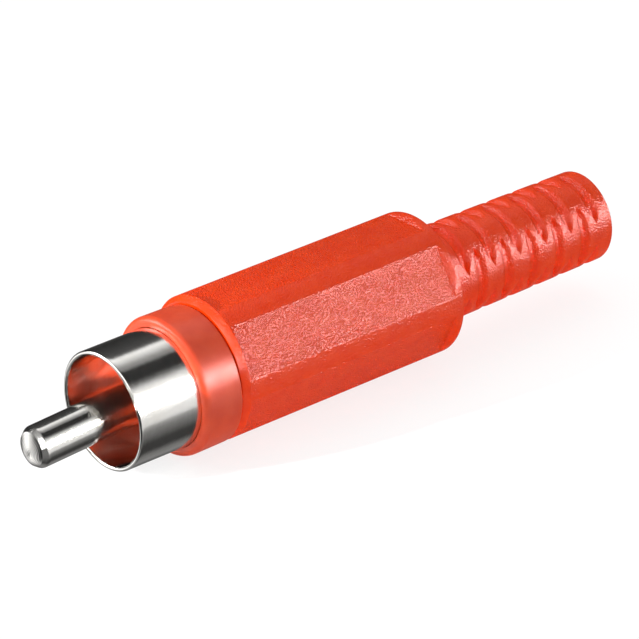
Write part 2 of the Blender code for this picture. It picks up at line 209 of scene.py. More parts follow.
class PlugMouldingSizes(bpy.types.PropertyGroup):
    """Sizes of the contact carrier and of the sleeve."""

    press_gap: length("Press gap", "Gap between pressed pieces", 0.05)
    web: length("Web", "Thickness of the moulding that holds the pin", 3.1)
    pin_seat: length("Pin seat", "Depth of the counterbore for the pin's shoulder", 0.1)
    pin_play: length("Pin seat play", "Clearance of that counterbore", 0.4)
    spigot: length("Spigot", "How far the disc stands into the outer contact", 0.83)
    collar_r: length("Collar radius", "Radius of the collar", 5.31)
    collar_draft: length("Collar draft", "Narrowing of the collar to the rear", 0.04)
    collar_length: length("Collar length", "Length of the collar", 3.26)
    collar_round: length("Collar round", "Radius of the collar's front edge", 0.5)
    collar_lip: length("Collar lip", "Bevel at the collar's rear edge", 0.12)
    mouth_lip: length("Mouth lip", "Bevel at the mouth of the contact's seat", 0.04)
    mouth_gap: length("Mouth gap", "Gap between the contact and its seat", 0.02)
    neck_r: length("Neck radius", "Radius of the threaded neck", 4.1)
    neck_wall: length("Neck wall", "Wall of the threaded neck", 0.65)
    neck_lead: length("Neck lead", "Bevel that the sleeve starts on", 0.4)
    relief: length("Relief length", "Thread relief behind the collar", 0.8)
    relief_depth: length("Relief depth", "Depth of the thread relief", 0.3)
    thread_pitch: length("Thread pitch", "Pitch of the sleeve's thread", 0.8)
    thread_depth: length("Thread depth", "Depth of the sleeve's thread", 0.28)
    flat_depth: length("Flat depth", "From the round rims down to the flats", 0.415)
    flat_front: length("Flat start", "From the grip's front face to a flat", 0.7)
    flat_front_ramp: length("Front ramp", "Slope in front of a flat", 0.2)
    flat_rear: length("Flat end", "From a flat to the grip's rear face", 0.85)
    flat_rear_ramp: length("Rear ramp", "Slope behind a flat", 0.5)
    edge_round: length("Edge round", "Width of the round on the flats' edges", 0.06)
    cone: length("Cone length", "Length of the cone at the grip's front", 0.48)
    cone_step: length("Cone step", "Height of the cone at the grip's front", 0.3)
    rear_round: length("Rear round", "Radius of the grip's rear edge", 0.18)
    grip_length: length("Grip length", "Length of the six-sided grip", 20.88)
    bore_wall: length("Bore wall", "From the threaded bore to the round rims", 0.97)
    bore_runout: length("Bore run-out", "Threaded bore behind the neck", 0.82)
    grip_wall: length("Grip wall", "Wall under the flats", 1.0)
    grip_end: length("Grip end", "From the cavity to the grip's rear face", 2.58)
    cavity_cone: length("Cavity cone", "Length of the cone behind the cavity", 1.9)
    boot_root_r: length("Boot root radius", "Radius of the boot at the grip", 3.72)
    boot_end_r: length("Boot end radius", "Radius of the boot at its end", 3.55)
    boot_round: length("Boot round", "Radius of the boot's end edge", 0.2)
    hole_r: length("Cable hole radius", "Radius of the cable hole", 2.5)
    hole_lead: length("Cable hole lead", "Bevel at the cable hole's mouth", 0.25)
    slot_width: length("Slot width", "Width of the slots' floors", 0.65)
    slot_flare: length("Slot flare", "Widening of each side at the surface", 0.24)
    slot_depth: length("Slot depth", "Depth of the slots", 0.42)
    slot_taper: length("Slot taper", "Narrowing of the slots to each end", 1.3)
    slot_land: length("Slot land", "Surface left between two rings of slots", 0.175)
    first_slot: length("First slot", "From the grip's rear face to the first slot", 2.2)
    flats: count("Flats", "Number of flats on the grip", 6)
    rings: count("Slot rings", "Number of rings of slots", 11)
    slots: count("Slots", "Number of slots in a ring", 3)
    bridge: angle("Bridge", "Wall left between the slots of a ring", 30.0)
    first_bridge: angle("First bridge", "Middle of the first bridge", 90.0)


class PlugFinishes(bpy.types.PropertyGroup):
    """Colours and surface finishes."""

    red: colour("Red", "Colour of the sleeve", (0.70, 0.036, 0.001))
    red_pale: colour("Red, pale", "Paler patches of the sleeve", (0.73, 0.046, 0.003))
    collar_red: colour("Collar red", "Colour of the carrier", (0.50, 0.037, 0.007))
    collar_pale: colour("Collar red, pale", "Paler patches of the carrier", (0.54, 0.049, 0.011))
    nickel: colour("Nickel", "Colour of the nickel plating", (0.80, 0.785, 0.76))
    nickel_warm: colour("Nickel, warm", "Warmer patches of the plating", (0.76, 0.74, 0.70))
    tin: colour("Tin", "Colour of the tinned strip", (0.62, 0.62, 0.60))
    tin_dull: colour("Tin, dull", "Duller patches of the tin", (0.50, 0.50, 0.49))
    collar_gloss: factor("Collar roughness", "Roughness of the carrier's moulding", 0.34)
    sleeve_gloss: factor("Sleeve roughness", "Roughness of the sleeve's moulding", 0.22)
    nickel_gloss: factor("Nickel roughness", "Roughness of the plating", 0.11)
    tin_gloss: factor("Tin roughness", "Roughness of the tin", 0.34)
    collar_shine: factor("Collar shine", "Specular level of the carrier", 0.42)
    sleeve_shine: factor("Sleeve shine", "Specular level of the sleeve", 0.31)
    grain: length("Grain size", "Size of the grain", 0.132)
    grain_height: length("Grain height", "Height of the grain on the flats", 0.058)


class PlugStudio(bpy.types.PropertyGroup):
    """Camera and studio light."""

    azimuth: angle("Azimuth", "Camera's direction round the plug", -38.9268)
    elevation: angle("Elevation", "Camera's height above the horizon", 25.5569)
    roll: angle("Roll", "Camera's turn about its view", -2.6798)
    distance: length("Distance", "From the camera to its target", 358.725)
    target: length("Target", "Target's station along the plug", 20.2278)
    target_height: length("Target height", "Target's height above the floor", 5.6853)
    lens: level("Lens", "Focal length", 275.47, unit="CAMERA")
    key: level("Front panel", "Brightness of the narrow panel in front", 26.5)
    ahead: level("Light ahead", "Brightness of the light ahead", 9.0)
    above_ahead: level("Light above", "Brightness of the light high ahead", 10.0)
    ahead_low: level("Low light", "Brightness of the light low ahead", 1.5)
    surround: level("Surround", "Brightness of the panels beside and behind", 1.2)
    lamp: level("Lamp", "Power of the lamp ahead", 26.0, unit="POWER")
    fill: level("Room light", "Soft light from behind", 2.35)
    fill_front: level("Front light", "Soft light in front", 0.1)


class Moulding:
    """Stations and radii that follow from the moulding and contact sizes."""

    def __init__(self, scene):
        sizes, contact = scene.plug_mouldings, scene.plug_contacts
        self.collar_rear = COLLAR_FRONT + sizes.collar_length
        self.disc = RING_REAR - sizes.spigot
        self.web_rear = self.disc + sizes.web
        self.ring_bore_r = contact.ring_r - contact.ring_wall
        self.grip_r = (SLEEVE_HIGH.y - SLEEVE_LOW.y) / 2
        self.grip_rear = GRIP_FRONT + sizes.grip_length
        self.flat_r = self.grip_r - sizes.flat_depth
        self.bore_r = self.grip_r - sizes.bore_wall
        self.cavity_r = self.flat_r - sizes.grip_wall
        self.bore_rear = NECK_REAR + sizes.bore_runout
        self.cavity_rear = self.grip_rear - sizes.grip_end
        self.slot_pitch = sizes.slot_width + 2 * sizes.slot_flare + sizes.slot_land


def arc(station, radius, bend, start, end, steps=ARC_STEPS):
    """Points along an arc. An angle of 0 points to the cable end, 90 degrees away from the axis."""
    turns = [math.radians(start + (end - start) * i / steps) for i in range(steps + 1)]
    return [(station + bend * math.cos(a), radius + bend * math.sin(a)) for a in turns]


def evenly(start, end, spacing):
    """Stations from start to end, both included, about a spacing apart."""
    steps = max(1, round(abs(end - start) / spacing))
    return [start + (end - start) * i / steps for i in range(steps + 1)]


def straight(start, end, spacing, radius):
    return [(station, radius) for station in evenly(start, end, spacing)]


def turned(section, steps, closed=True):
    """Spins a section of (station, radius) points a full turn about the axis, from +Z towards -Y."""
    bm = bmesh.new()
    verts = [bm.verts.new((station, 0.0, radius)) for station, radius in section]
    ends = verts[1:] + verts[:1] if closed else verts[1:]
    edges = [bm.edges.new(pair) for pair in zip(verts, ends)]
    bmesh.ops.spin(bm, geom=verts + edges, cent=(0, 0, 0), axis=(1, 0, 0), angle=FULL_TURN,
                   steps=steps, use_merge=True)
    bmesh.ops.remove_doubles(bm, verts=bm.verts, dist=MERGE)
    bmesh.ops.recalc_face_normals(bm, faces=bm.faces)
    return bm


def turn_of(point):
    """Angle of a point about the axis, from +Z towards -Y, in radians."""
    return math.atan2(-point.y, point.z) % FULL_TURN


def radius_of(point):
    return math.hypot(point.y, point.z)


def place_at(vert, turn, radius):
    vert.co.y = -radius * math.sin(turn)
    vert.co.z = radius * math.cos(turn)


def nearest_turn(turn, share):
    """Signed angle to the nearest multiple of share."""
    return (turn + share / 2) % share - share / 2


def smooth_ramp(value, low, high):
    share = max(0.0, min(1.0, (value - low) / (high - low)))
    return share * share * (3 - 2 * share)


def cut_thread(bm, start, end, crest_r, pitch, depth):
    """Moves the skin at crest_r along a screw line. A negative depth cuts outwards, as in a bore."""
    for vert in bm.verts:
        radius = radius_of(vert.co)
        if abs(radius - crest_r) > THREAD_SKIN or not start <= vert.co.x <= end:
            continue
        turn = turn_of(vert.co)
        wave = 0.5 - 0.5 * math.cos(FULL_TURN * (vert.co.x / pitch - turn / FULL_TURN))
        fade = smooth_ramp(vert.co.x, start, start + pitch) * smooth_ramp(-vert.co.x, -end, pitch - end)
        place_at(vert, turn, radius - depth * wave ** THREAD_FORM * fade)


def bevel_edges(bm, edges, width, segments):
    bmesh.ops.bevel(bm, geom=edges, offset=width, offset_type="OFFSET", affect="EDGES",
                    segments=segments, profile=0.5, material=-1, clamp_overlap=False)


def add_object(name, bm, material=None):
    mesh = bpy.data.meshes.new(name)
    bm.to_mesh(mesh)
    bm.free()
    if material:
        mesh.materials.append(material)
    made = bpy.data.objects.new(name, mesh)
    bpy.context.scene.collection.objects.link(made)
    return made


def add_piece(name, bm, height):
    """Makes an object at the origin from a bmesh that was shaped round its own axis."""
    bmesh.ops.translate(bm, verts=bm.verts, vec=(RIM_X, 0.0, height))
    return add_object(name, bm)


def cut_out(piece, cutters):
    """Cuts shapes out of a finished piece and keeps the result as its mesh."""
    for cutter in cutters:
        boolean = piece.modifiers.new(cutter.name, "BOOLEAN")
        boolean.operation = "DIFFERENCE"
        boolean.solver = "EXACT"
        boolean.object = cutter
    apply_modifiers(piece)
    for cutter in cutters:
        bpy.data.objects.remove(cutter)


def apply_modifiers(piece):
    graph = bpy.context.evaluated_depsgraph_get()
    graph.update()
    shaped = bpy.data.meshes.new_from_object(piece.evaluated_get(graph))
    piece.modifiers.clear()
    piece.data = shaped


def box_cutter(name, low, high, height):
    bm = bmesh.new()
    low, high = Vector(low), Vector(high)
    place = Matrix.Translation((low + high) / 2) @ Matrix.Diagonal((*(high - low), 1.0))
    bmesh.ops.create_cube(bm, size=1.0, matrix=place)
    return add_piece(name, bm, height)


def finish_piece(piece, body, node, material):
    """Shades a piece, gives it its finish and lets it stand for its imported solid."""
    mesh = piece.data
    mesh.materials.append(material)
    mesh.shade_smooth()
    mesh.set_sharp_from_angle(angle=SHARP_ANGLE)
    weighted = piece.modifiers.new("weighted_normals", "WEIGHTED_NORMAL")
    weighted.keep_sharp = True
    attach(piece, body)
    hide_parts(node)


class Nodes:
    """A node tree under construction."""

    def __init__(self, tree):
        self.tree = tree

    def fill(self, node, inputs):
        """Sets a node's inputs to plain values or links them to outputs of other nodes."""
        for name, value in inputs.items():
            if isinstance(value, bpy.types.NodeSocket):
                self.tree.links.new(value, node.inputs[name])
            else:
                node.inputs[name].default_value = value

    def add(self, kind, inputs, **values):
        node = self.tree.nodes.new("ShaderNode" + kind)
        for key, value in values.items():
            setattr(node, key, value)
        self.fill(node, inputs)
        return node.outputs

    def spread(self, source, low, high, to_low=0.0, to_high=1.0):
        return self.add("MapRange", {
            "Value": source, "From Min": low, "From Max": high, "To Min": to_low, "To Max": to_high,
        })["Result"]

    def combine(self, operation, first, second):
        return self.add("Math", {0: first, 1: second}, operation=operation)["Value"]

    def axes(self, coordinates):
        """The X, Y and Z outputs of a kind of texture coordinates."""
        where = self.add("TexCoord", {})[coordinates]
        return self.add("SeparateXYZ", {"Vector": where})

    def rays(self, kind):
        return self.add("LightPath", {})[f"Is {kind} Ray"]

    def mix(self, share, first, second):
        return self.add("MixShader", {0: share, 1: first, 2: second})["Shader"]

    def ramp(self, share, stops, span):
        """Brightness along a list of (place, brightness) stops, whose places cover a span about 0."""
        ramp = self.tree.nodes.new("ShaderNodeValToRGB")
        elements = ramp.color_ramp.elements
        while len(elements) < len(stops):
            elements.new(0.5)
        for element, (place, glow) in zip(elements, stops):
            element.position = place / span + 0.5
            element.color = (glow, glow, glow, 1.0)
        self.fill(ramp, {"Fac": share})
        return ramp.outputs["Color"]


class Finish(Nodes):
    """A node material under construction."""

    def __init__(self, name, inputs):
        self.material = bpy.data.materials.new(name)
        self.material.use_nodes = True
        super().__init__(self.material.node_tree)
        self.shade(inputs)

    def shade(self, inputs):
        """Fills the shader's own inputs."""
        self.fill(self.tree.nodes["Principled BSDF"], inputs)

    def cover(self, shader):
        """Gives the surface another shader."""
        self.fill(self.tree.nodes["Material Output"], {"Surface": shader})

    def place(self, scale=(1.0, 1.0, 1.0)):
        """Object coordinates, stretched by a scale on each axis."""
        where = self.add("TexCoord", {})["Object"]
        return self.add("Mapping", {"Vector": where, "Scale": scale})["Vector"]

    def noise(self, where, size, detail=2.0, roughness=0.5):
        """Noise whose lumps are about a size across."""
        return self.add("TexNoise", {
            "Vector": where, "Scale": 1.0 / size, "Detail": detail, "Roughness": roughness,
        })["Fac"]

    def colour(self, cloud, full, first, second):
        """Soft patches of a second colour in a first, up to where the noise is full."""
        share = self.spread(cloud, PATCH_START, full)
        mix = self.add("Mix", {"Factor": share, "A": (*first, 1.0), "B": (*second, 1.0)},
                       data_type="RGBA")
        self.shade({"Base Color": mix["Result"]})

    def roughen(self, patches, smoothest, roughest):
        self.shade({"Roughness": self.spread(patches, *NOISE_RANGE, smoothest, roughest)})

    def bump(self, height, distance, below=None):
        under = {"Normal": below} if below else {}
        return self.add("Bump", {
            "Height": height, "Strength": 1.0, "Distance": distance, **under,
        })["Normal"]


def red_moulding(name, finishes, colours, roughness, specular, grain=0.0):
    """Moulded red plastic. Grain is the height of the tool's spark-eroded texture on the flats."""
    finish = Finish(name, {"Specular IOR Level": specular})
    where = finish.place()
    finish.colour(finish.noise(where, 1.1 * MM, detail=3.0), 0.65, *colours)
    finish.roughen(finish.noise(where, 0.7 * MM), roughness - 0.03, roughness + 0.04)
    normal = finish.bump(finish.noise(where, 0.5 * MM), 0.0025 * MM)
    if grain:
        fine = finish.spread(finish.noise(where, finishes.grain, detail=0.0), *NOISE_RANGE)
        share = finish.add("Attribute", {}, attribute_name="grain")["Fac"]
        normal = finish.bump(finish.combine("MULTIPLY", fine, share), grain, normal)
    finish.shade({"Normal": normal})
    return finish.material


def nickel_plating(name, finishes):
    """Bright nickel with the fine lines of drawing and polishing round the axis."""
    finish = Finish(name, {"Metallic": 1.0})
    gloss = finishes.nickel_gloss
    finish.colour(finish.noise(finish.place(), 1.6 * MM, detail=3.0), 0.7,
                  finishes.nickel, finishes.nickel_warm)
    lines = finish.noise(finish.place((1.0, 0.1, 0.1)), 0.08 * MM, roughness=0.6)
    finish.roughen(lines, gloss - 0.03, gloss + 0.05)
    dents = finish.noise(finish.place((1.0, 0.3, 0.3)), 0.16 * MM, detail=1.0)
    finish.shade({"Normal": finish.bump(lines, 0.006 * MM, finish.bump(dents, 0.0035 * MM))})
    return finish.material


def tinned_strip(name, finishes):
    """Dull tin over a rolled strip, with rolling lines along it and small spangles."""
    finish = Finish(name, {"Metallic": 1.0})
    gloss = finishes.tin_gloss
    finish.colour(finish.noise(finish.place(), 0.8 * MM, detail=4.0), 0.65,
                  finishes.tin, finishes.tin_dull)
    lines = finish.noise(finish.place((0.05, 1.0, 1.0)), 0.12 * MM, detail=3.0)
    finish.roughen(lines, gloss - 0.05, gloss + 0.08)
    finish.shade({"Normal": finish.bump(lines, 0.002 * MM)})
    return finish.material


class PLUG_OT_centre_pin(bpy.types.Operator):
    """Build the centre pin with its domed nose, staked shank and solder cup"""

    bl_idname = "plug.centre_pin"
    bl_label = "Centre pin"

    def execute(self, context):
        sizes = context.scene.plug_contacts
        gap = context.scene.plug_mouldings.press_gap
        shape = Moulding(context.scene)
        nose_r = sizes.pin_r - sizes.pin_edge_step
        edge = PIN_TIP + sizes.pin_dome + sizes.pin_edge
        section = self.nose(sizes, nose_r)
        section += self.bevel(sizes, nose_r, edge)
        shoulder = shape.disc + context.scene.plug_mouldings.pin_seat - gap
        section += straight(edge + SHANK_ROW, shoulder, PIN_ROW, sizes.pin_r)
        stake = shape.web_rear + gap
        cup_r = sizes.shank_r - sizes.cup_wall
        floor = shape.web_rear + CUP_FLOOR
        closed_end = floor + CUP_CLOSED
        shank_r, rim_r, stake_rear = sizes.shank_r, sizes.shank_r + sizes.stake_rim, stake + STAKE_LENGTH
        section += [
            (shoulder, shank_r), (stake, shank_r), (stake, rim_r - SOFT_EDGE), (stake + SOFT_EDGE, rim_r),
            (stake_rear - 2 * SOFT_EDGE, shank_r + 2 * SOFT_EDGE), (stake_rear, shank_r),
            (closed_end, shank_r), (PIN_TAIL - SOFT_EDGE, shank_r), (PIN_TAIL, shank_r - SOFT_EDGE),
            (PIN_TAIL, cup_r + SOFT_EDGE), (PIN_TAIL - SOFT_EDGE, cup_r),
            (closed_end, cup_r), (floor, cup_r), (floor - cup_r / 2, 0.0),
        ]
        bm = turned(section, METAL_STEPS, closed=False)
        lean = math.tan(sizes.pin_lean)
        for vert in bm.verts:
            if vert.co.x < PIN_TIP + sizes.pin_dome:
                inside = max(0.0, 1 - (radius_of(vert.co) / nose_r) ** 2)
                vert.co.z -= sizes.mark_offset * inside
            ahead = max(0.0, shoulder - vert.co.x)
            vert.co.y += lean * ahead * math.cos(sizes.lean_towards)
            vert.co.z += lean * ahead * math.sin(sizes.lean_towards)
        pin = add_piece("pin", bm, CARRIER_AXIS)
        side = shank_r + MM
        opening = box_cutter("cup_opening", (closed_end, -side, CUP_SIDE),
                             (PIN_TAIL + MM, side, side), CARRIER_AXIS)
        cut_out(pin, [opening])
        finish_piece(pin, "contact_body", "centre_pin",
                     nickel_plating("pin_nickel", context.scene.plug_finishes))
        return {"FINISHED"}

    @staticmethod
    def nose(sizes, nose_r):
        """The dome with its hollow and fine turning marks, from the axis out to the bevel."""
        points = []
        for radius in evenly(0.0, nose_r, sizes.mark_pitch / 8):
            out = max(0.0, radius - sizes.dimple_r) / (nose_r - sizes.dimple_r)
            hollow = math.cos(math.pi / 2 * min(1.0, radius / sizes.dimple_r)) ** 2
            mark = 0.5 - 0.5 * math.cos(FULL_TURN * radius / sizes.mark_pitch)
            points.append((PIN_TIP + sizes.pin_dome * out ** 2 + sizes.dimple * hollow
                           + sizes.mark_depth * mark * (1 - out ** 4), radius))
        return points

    @staticmethod
    def bevel(sizes, nose_r, edge):
        """The straight bevel behind the dome, with a narrow round on its rear edge."""
        run, step, soft = sizes.pin_edge, sizes.pin_edge_step, sizes.pin_edge_soft
        slant = math.hypot(run, step)
        along, out = run / slant, step / slant
        points = []
        for share in (*BEVEL_ROWS, 1 - soft / slant):
            points.append((edge - run * (1 - share), nose_r + step * share))
        for i in range(1, EDGE_STEPS):
            share = i / EDGE_STEPS
            before, after = (1 - share) ** 2, share ** 2
            points.append((edge - soft * (along * before - after), sizes.pin_r - soft * out * before))
        points.append((edge + soft, sizes.pin_r))
        return points


class PLUG_OT_outer_contact(bpy.types.Operator):
    """Build the outer contact, a thin tube with a rounded rim"""

    bl_idname = "plug.outer_contact"
    bl_label = "Outer contact"

    def execute(self, context):
        sizes = context.scene.plug_contacts
        shape = Moulding(context.scene)
        half = sizes.ring_wall / 2
        section = arc(half, sizes.ring_r - half, half, 90, 270, 2 * ARC_STEPS)
        section += straight(TUBE_START, RING_REAR, ROW, shape.ring_bore_r)
        section += straight(RING_REAR, TUBE_START, ROW, sizes.ring_r)
        ring = add_piece("ring", turned(section, METAL_STEPS), CARRIER_AXIS)
        finish_piece(ring, "contact_body", "outer_contact",
                     nickel_plating("ring_nickel", context.scene.plug_finishes))
        return {"FINISHED"}


class PLUG_OT_contact_carrier(bpy.types.Operator):
    """Build the carrier: collar, insulating disc, threaded neck and the lug's window"""

    bl_idname = "plug.contact_carrier"
    bl_label = "Contact carrier"

    def execute(self, context):
        sizes, contact = context.scene.plug_mouldings, context.scene.plug_contacts
        shape = Moulding(context.scene)
        lip = sizes.collar_lip
        rear_r = sizes.collar_r - sizes.collar_draft
        relief_r = sizes.neck_r - sizes.relief_depth
        seat_end = RING_REAR + sizes.press_gap
        pin_hole_r = contact.shank_r + sizes.press_gap
        mouth_r = contact.ring_r + sizes.mouth_gap
        spigot_r = shape.ring_bore_r - sizes.press_gap
        pocket_r = sizes.neck_r - sizes.neck_wall
        thread_start = shape.collar_rear + sizes.relief + sizes.relief_depth
        thread_end = NECK_REAR - sizes.neck_lead
        seat, seat_r = shape.disc + sizes.pin_seat, contact.pin_r + sizes.pin_play
        section = [
            (seat, pin_hole_r), (seat, seat_r), (shape.disc, seat_r),
            (shape.disc, spigot_r - 2 * SOFT_EDGE), (shape.disc + 2 * SOFT_EDGE, spigot_r),
            (seat_end, spigot_r), (seat_end, mouth_r), (COLLAR_FRONT + sizes.mouth_lip, mouth_r),
            (COLLAR_FRONT, mouth_r + sizes.mouth_lip),
        ]
        bend = sizes.collar_round
        section += arc(COLLAR_FRONT + bend, sizes.collar_r - bend, bend, 180, 90, 10)
        section += [(shape.collar_rear - lip, rear_r)]
        section += arc(shape.collar_rear - lip, rear_r - lip, lip, 70, 0, 4)
        section += [(shape.collar_rear, relief_r), (shape.collar_rear + sizes.relief, relief_r)]
        section += straight(thread_start, thread_end, sizes.thread_pitch / 10, sizes.neck_r)
        section += [(NECK_REAR, sizes.neck_r - sizes.neck_lead), (NECK_REAR, pocket_r),
                    (shape.web_rear, pocket_r), (shape.web_rear, pin_hole_r)]
        bm = turned(section, CARRIER_STEPS)
        cut_thread(bm, thread_start, thread_end, sizes.neck_r, sizes.thread_pitch, sizes.thread_depth)
        carrier = add_piece("carrier", bm, CARRIER_AXIS)
        half = contact.lug_width / 2 + LUG_ROOM
        depth = contact.lug_thick / 2 + LUG_ROOM
        under, over = -contact.lug_drop - depth, -contact.lug_drop + depth
        foot = RING_REAR + sizes.press_gap + contact.lug_thick / 2
        window = box_cutter("lug_window", (foot - depth, -half, -contact.ring_r),
                            (foot + depth, half, over), CARRIER_AXIS)
        channel = box_cutter("lug_channel", (foot, -half, under),
                             (shape.web_rear + CHANNEL_END, half, over), CARRIER_AXIS)
        cut_out(carrier, [window, channel])
        finishes = context.scene.plug_finishes
        finish_piece(carrier, "contact_body", "contact_carrier",
                     red_moulding("collar_red", finishes, (finishes.collar_red, finishes.collar_pale),
                                  finishes.collar_gloss, finishes.collar_shine))
        return {"FINISHED"}


class PLUG_OT_ground_lug(bpy.types.Operator):
    """Build the folded ground lug with its wire hole and cable clamp"""

    bl_idname = "plug.ground_lug"
    bl_label = "Ground lug"

    def execute(self, context):
        sizes = context.scene.plug_contacts
        half = sizes.lug_width / 2
        drop = sizes.lug_drop
        foot = RING_REAR + context.scene.plug_mouldings.press_gap + sizes.lug_thick / 2
        clamp_front = LUG_END - sizes.clamp_length
        bm = bmesh.new()
        foot_r = sizes.ring_r - LUG_ROOM
        ends = [bm.verts.new((foot, y, -foot_r)) for y in (-half, half)]
        strip = [bm.edges.new(ends)]
        strip = self.run_on(bm, strip, (0.0, 0.0, foot_r - drop - sizes.lug_fold_r))
        fold_axis = (foot + sizes.lug_fold_r, 0.0, -drop - sizes.lug_fold_r)
        strip = self.fold(bm, strip, fold_axis, (0, 1, 0), math.pi / 2)
        strip = self.run_on(bm, strip, (clamp_front - fold_axis[0], 0.0, 0.0))
        before = set(bm.edges)
        strip = self.run_on(bm, strip, (sizes.clamp_length, 0.0, 0.0))
        sides = [edge for edge in bm.edges if edge not in before and edge not in strip]
        for edge in sides:
            hand = 1.0 if edge.verts[0].co.y > 0 else -1.0
            axis = (0.0, hand * half, sizes.clamp_fold_r - drop)
            ear = self.fold(bm, [edge], axis, (1, 0, 0), hand * math.pi / 2)
            self.run_on(bm, ear, (0.0, 0.0, sizes.clamp_height - sizes.clamp_fold_r))
        bmesh.ops.recalc_face_normals(bm, faces=bm.faces)
        tops = [vert for vert in bm.verts if vert.co.z > sizes.clamp_height - drop - MERGE]
        bmesh.ops.bevel(bm, geom=tops, offset=EAR_CORNER, offset_type="OFFSET", affect="VERTICES",
                        segments=5, profile=0.5, material=-1)
        lug = add_piece("lug", bm, CARRIER_AXIS)
        sheet = lug.modifiers.new("sheet", "SOLIDIFY")
        sheet.thickness = sizes.lug_thick
        sheet.offset = 0.0
        apply_modifiers(lug)
        hole = bmesh.new()
        place = Matrix.Translation((NECK_REAR + WIRE_HOLE_BACK, 0.0, -drop))
        bmesh.ops.create_cone(hole, cap_ends=True, segments=48, radius1=sizes.lug_hole_r,
                              radius2=sizes.lug_hole_r, depth=MM, matrix=place)
        cut_out(lug, [add_piece("wire_hole", hole, CARRIER_AXIS)])
        finish_piece(lug, "contact_body", "ground_lug",
                     tinned_strip("lug_tin", context.scene.plug_finishes))
        return {"FINISHED"}

    @staticmethod
    def run_on(bm, edges, step):
        """Lengthens the strip by a straight step and returns its new end."""
        grown = bmesh.ops.extrude_edge_only(bm, edges=edges)["geom"]
        moved = [g for g in grown if isinstance(g, bmesh.types.BMVert)]
        bmesh.ops.translate(bm, verts=moved, vec=step)
        return [g for g in grown if isinstance(g, bmesh.types.BMEdge) and set(g.verts) <= set(moved)]

    @staticmethod
    def fold(bm, edges, centre, axis, turn):
        """Bends the strip on round a fold and returns its new end."""
        geom = list({vert for edge in edges for vert in edge.verts}) + edges
        grown = bmesh.ops.spin(bm, geom=geom, cent=centre, axis=axis, angle=turn, steps=ARC_STEPS)
        return [g for g in grown["geom_last"] if isinstance(g, bmesh.types.BMEdge)]


